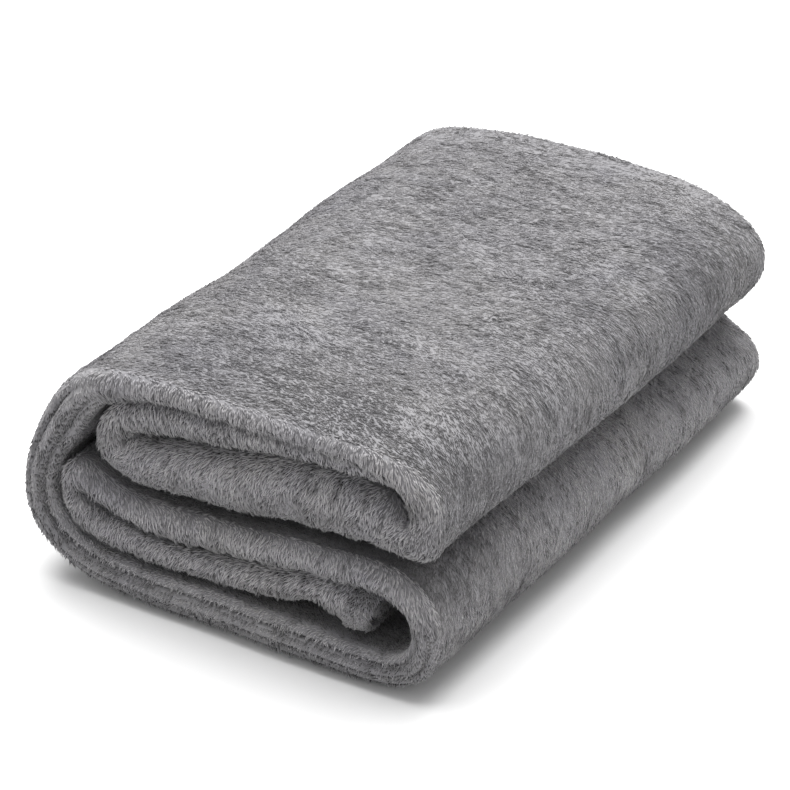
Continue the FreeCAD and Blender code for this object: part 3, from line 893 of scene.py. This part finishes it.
def pile_weights(name, grid, normals, kinds):
    """How dense the pile is made in each grid cell: full where it shows, thin in the folds."""
    centre = (grid[:-1, :-1] + grid[1:, 1:]) / 2
    up = normals[:-1, :-1, 2]
    kind = np.broadcast_to(kinds[None, :-1], centre.shape[:2])
    weight = np.zeros(centre.shape[:2])
    ends = np.maximum(
        ramp(-centre[..., 1], -(FRONT + 48), -(FRONT + 22)),
        ramp(centre[..., 1], BACK - 26, BACK - 8),
    )
    for ply, shares, otherwise in (
        (OUTER_PLY, OUTER_SHARE, HIDDEN_SHARE), (INNER_PLY, INNER_SHARE, 0.0),
    ):
        share = shares.get(name, otherwise)
        weight = np.where(kind == ply, share + (1 - share) * ends, weight)
    weight[(kind == NOSE) | (kind == BACK_FOLD)] = 1.0
    resting = (centre[..., 2] < 3.5) & (up < -0.6)
    weight[resting] = 0.0
    return weight


def ride_or_blend(piece, body):
    """Lets a piece follow its body. A piece given two bodies only has its transform baked into its
    mesh; it follows neither body and does not turn between them.
    """
    if not isinstance(body, tuple):
        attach(piece, body)
        return
    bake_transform(piece)


def edge_hem_pile(hem, strip, strip_normals):
    """Pile on the front end of a hem at a free edge, where it can be seen."""
    place = (strip[:-1, :-1] + strip[1:, 1:]) / 2
    weights = (place[..., 1] < FRONT + 60) * 1.0
    nap = unit(hanging_down(strip_normals) + (0, -0.2, 0))
    columns = strip.shape[1]
    return pile_on(
        hem.name + "_pile", strip, strip_normals, weights, nap,
        np.zeros(strip.shape[:2], bool), np.zeros(columns, bool), np.full(len(strip), 0.5),
        # the -0.4 is painted shade, the same on every tuft of this hem's pile
        np.full(strip.shape[:2], -0.4), np.ones(len(strip)), 1.1,
    )


def groove_shade(ridges, kinds):
    """Darker tufts down in the grooves of the folded front end."""
    bend = np.clip((np.arange(len(kinds)) - LONG_POINTS + 1) / (NOSE_POINTS - 1), 0, 1)
    grooves = (0.5 + 0.5 * np.cos(6 * math.pi * bend)) * np.sin(math.pi * bend) * (kinds == NOSE)
    return -0.65 * np.clip(ridges, 0, 6)[:, None] * grooves[None, :]


def piles_for(name, short, grid, normals, thickness, ridges):
    """The pile of one cloth piece. The top's is two pieces, so that neither is too large."""
    kinds = column_kinds()
    weights = pile_weights(name, grid, normals, kinds)
    nap, over = nap_field(grid, normals, kinds)
    shade = groove_shade(ridges, kinds)
    fold_length = np.where(ridges > 1, 1.0, 1.45)
    front = (grid[:-1, :-1, 1] < 0) * 1.0
    parts = {"_pile": 1.0}
    if short == "top":
        parts = {"_front_pile": front, "_back_pile": 1 - front}
    return [
        pile_on(
            short + label, grid, normals, weights * part, nap, over, kinds == NOSE,
            half_cloth(thickness), shade, fold_length,
        )
        for label, part in parts.items()
    ]


def hem_sides(short):
    """The hems of one cloth piece and the edges they lie on."""
    sides = [(short + "_side_hem_a", "first column"), (short + "_side_hem_b", "last column")]
    if short == "upper_tuck":
        sides.append(("upper_free_edge_hem", "first row"))
    if short == "lower_tuck":
        sides.append(("lower_free_edge_hem", "last row"))
    return sides


def make_cloth():
    for name, first, last, body, nodes in PIECES:
        short = name.replace("_cloth", "")
        grid, thickness, ridges = cloth_grid(first, last)
        normals = grid_normals(grid)
        cloth = sheet_solid(name, grid, normals, thickness)
        cloth.data.materials.append(GROUND)
        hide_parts(*nodes)
        piles = piles_for(name, short, grid, normals, thickness, ridges)
        hems, thread = hems_for(short, grid, normals, half_cloth(thickness), hem_sides(short))
        limb = nodes[0]
        if limb.endswith("_limb"):
            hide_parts(limb + "_side_hem_1")
            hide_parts(limb + "_side_hem_2")
            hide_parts(limb + "_hem_thread")
        if len(hems) == 3:
            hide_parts(short.split("_")[0] + "_edge_hem")
            piles.append(edge_hem_pile(*hems[2]))
        hem_pieces = [hem for hem, _, _ in hems]
        for piece in (cloth, *piles, *hem_pieces, thread):
            ride_or_blend(piece, body)


add_camera()
add_surroundings()
make_cloth()
